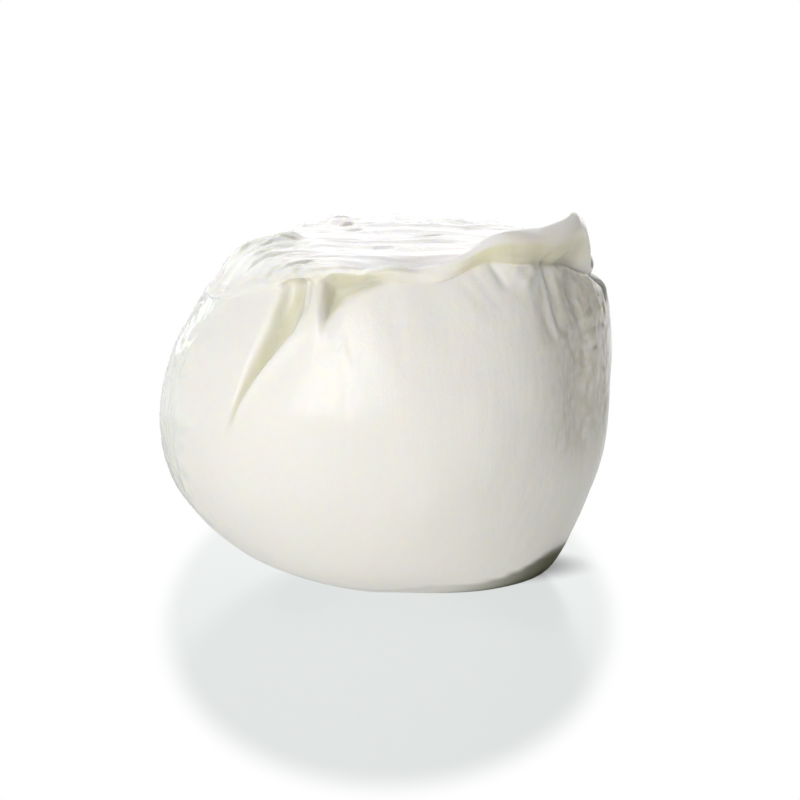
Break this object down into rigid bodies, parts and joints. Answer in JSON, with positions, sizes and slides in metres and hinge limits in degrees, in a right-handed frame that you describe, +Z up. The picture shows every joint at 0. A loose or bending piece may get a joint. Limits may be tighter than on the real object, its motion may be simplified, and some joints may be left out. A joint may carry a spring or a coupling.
{
  "type": "mozzarella ball",
  "caption": "Ball of fresh mozzarella with a flat torn top, a thin overhanging lip with a raised flap, a slit down one side and a small flat foot.",
  "frame": {"origin": "on the surface the ball stands on, under the middle of its outline", "axes": "+X to the side with the raised flap and peak, -Y to the side with the slit and the tongue of skin, +Z up through the flat torn top"},
  "size_m": [0.064, 0.06, 0.0538],
  "materials": {
    "curd": "milk white, wet and slightly translucent, glossy where the whey lies on it"
  },
  "bodies": {
    "root": {"mozzarella_ball": "curd"}
  },
  "joints": []
}
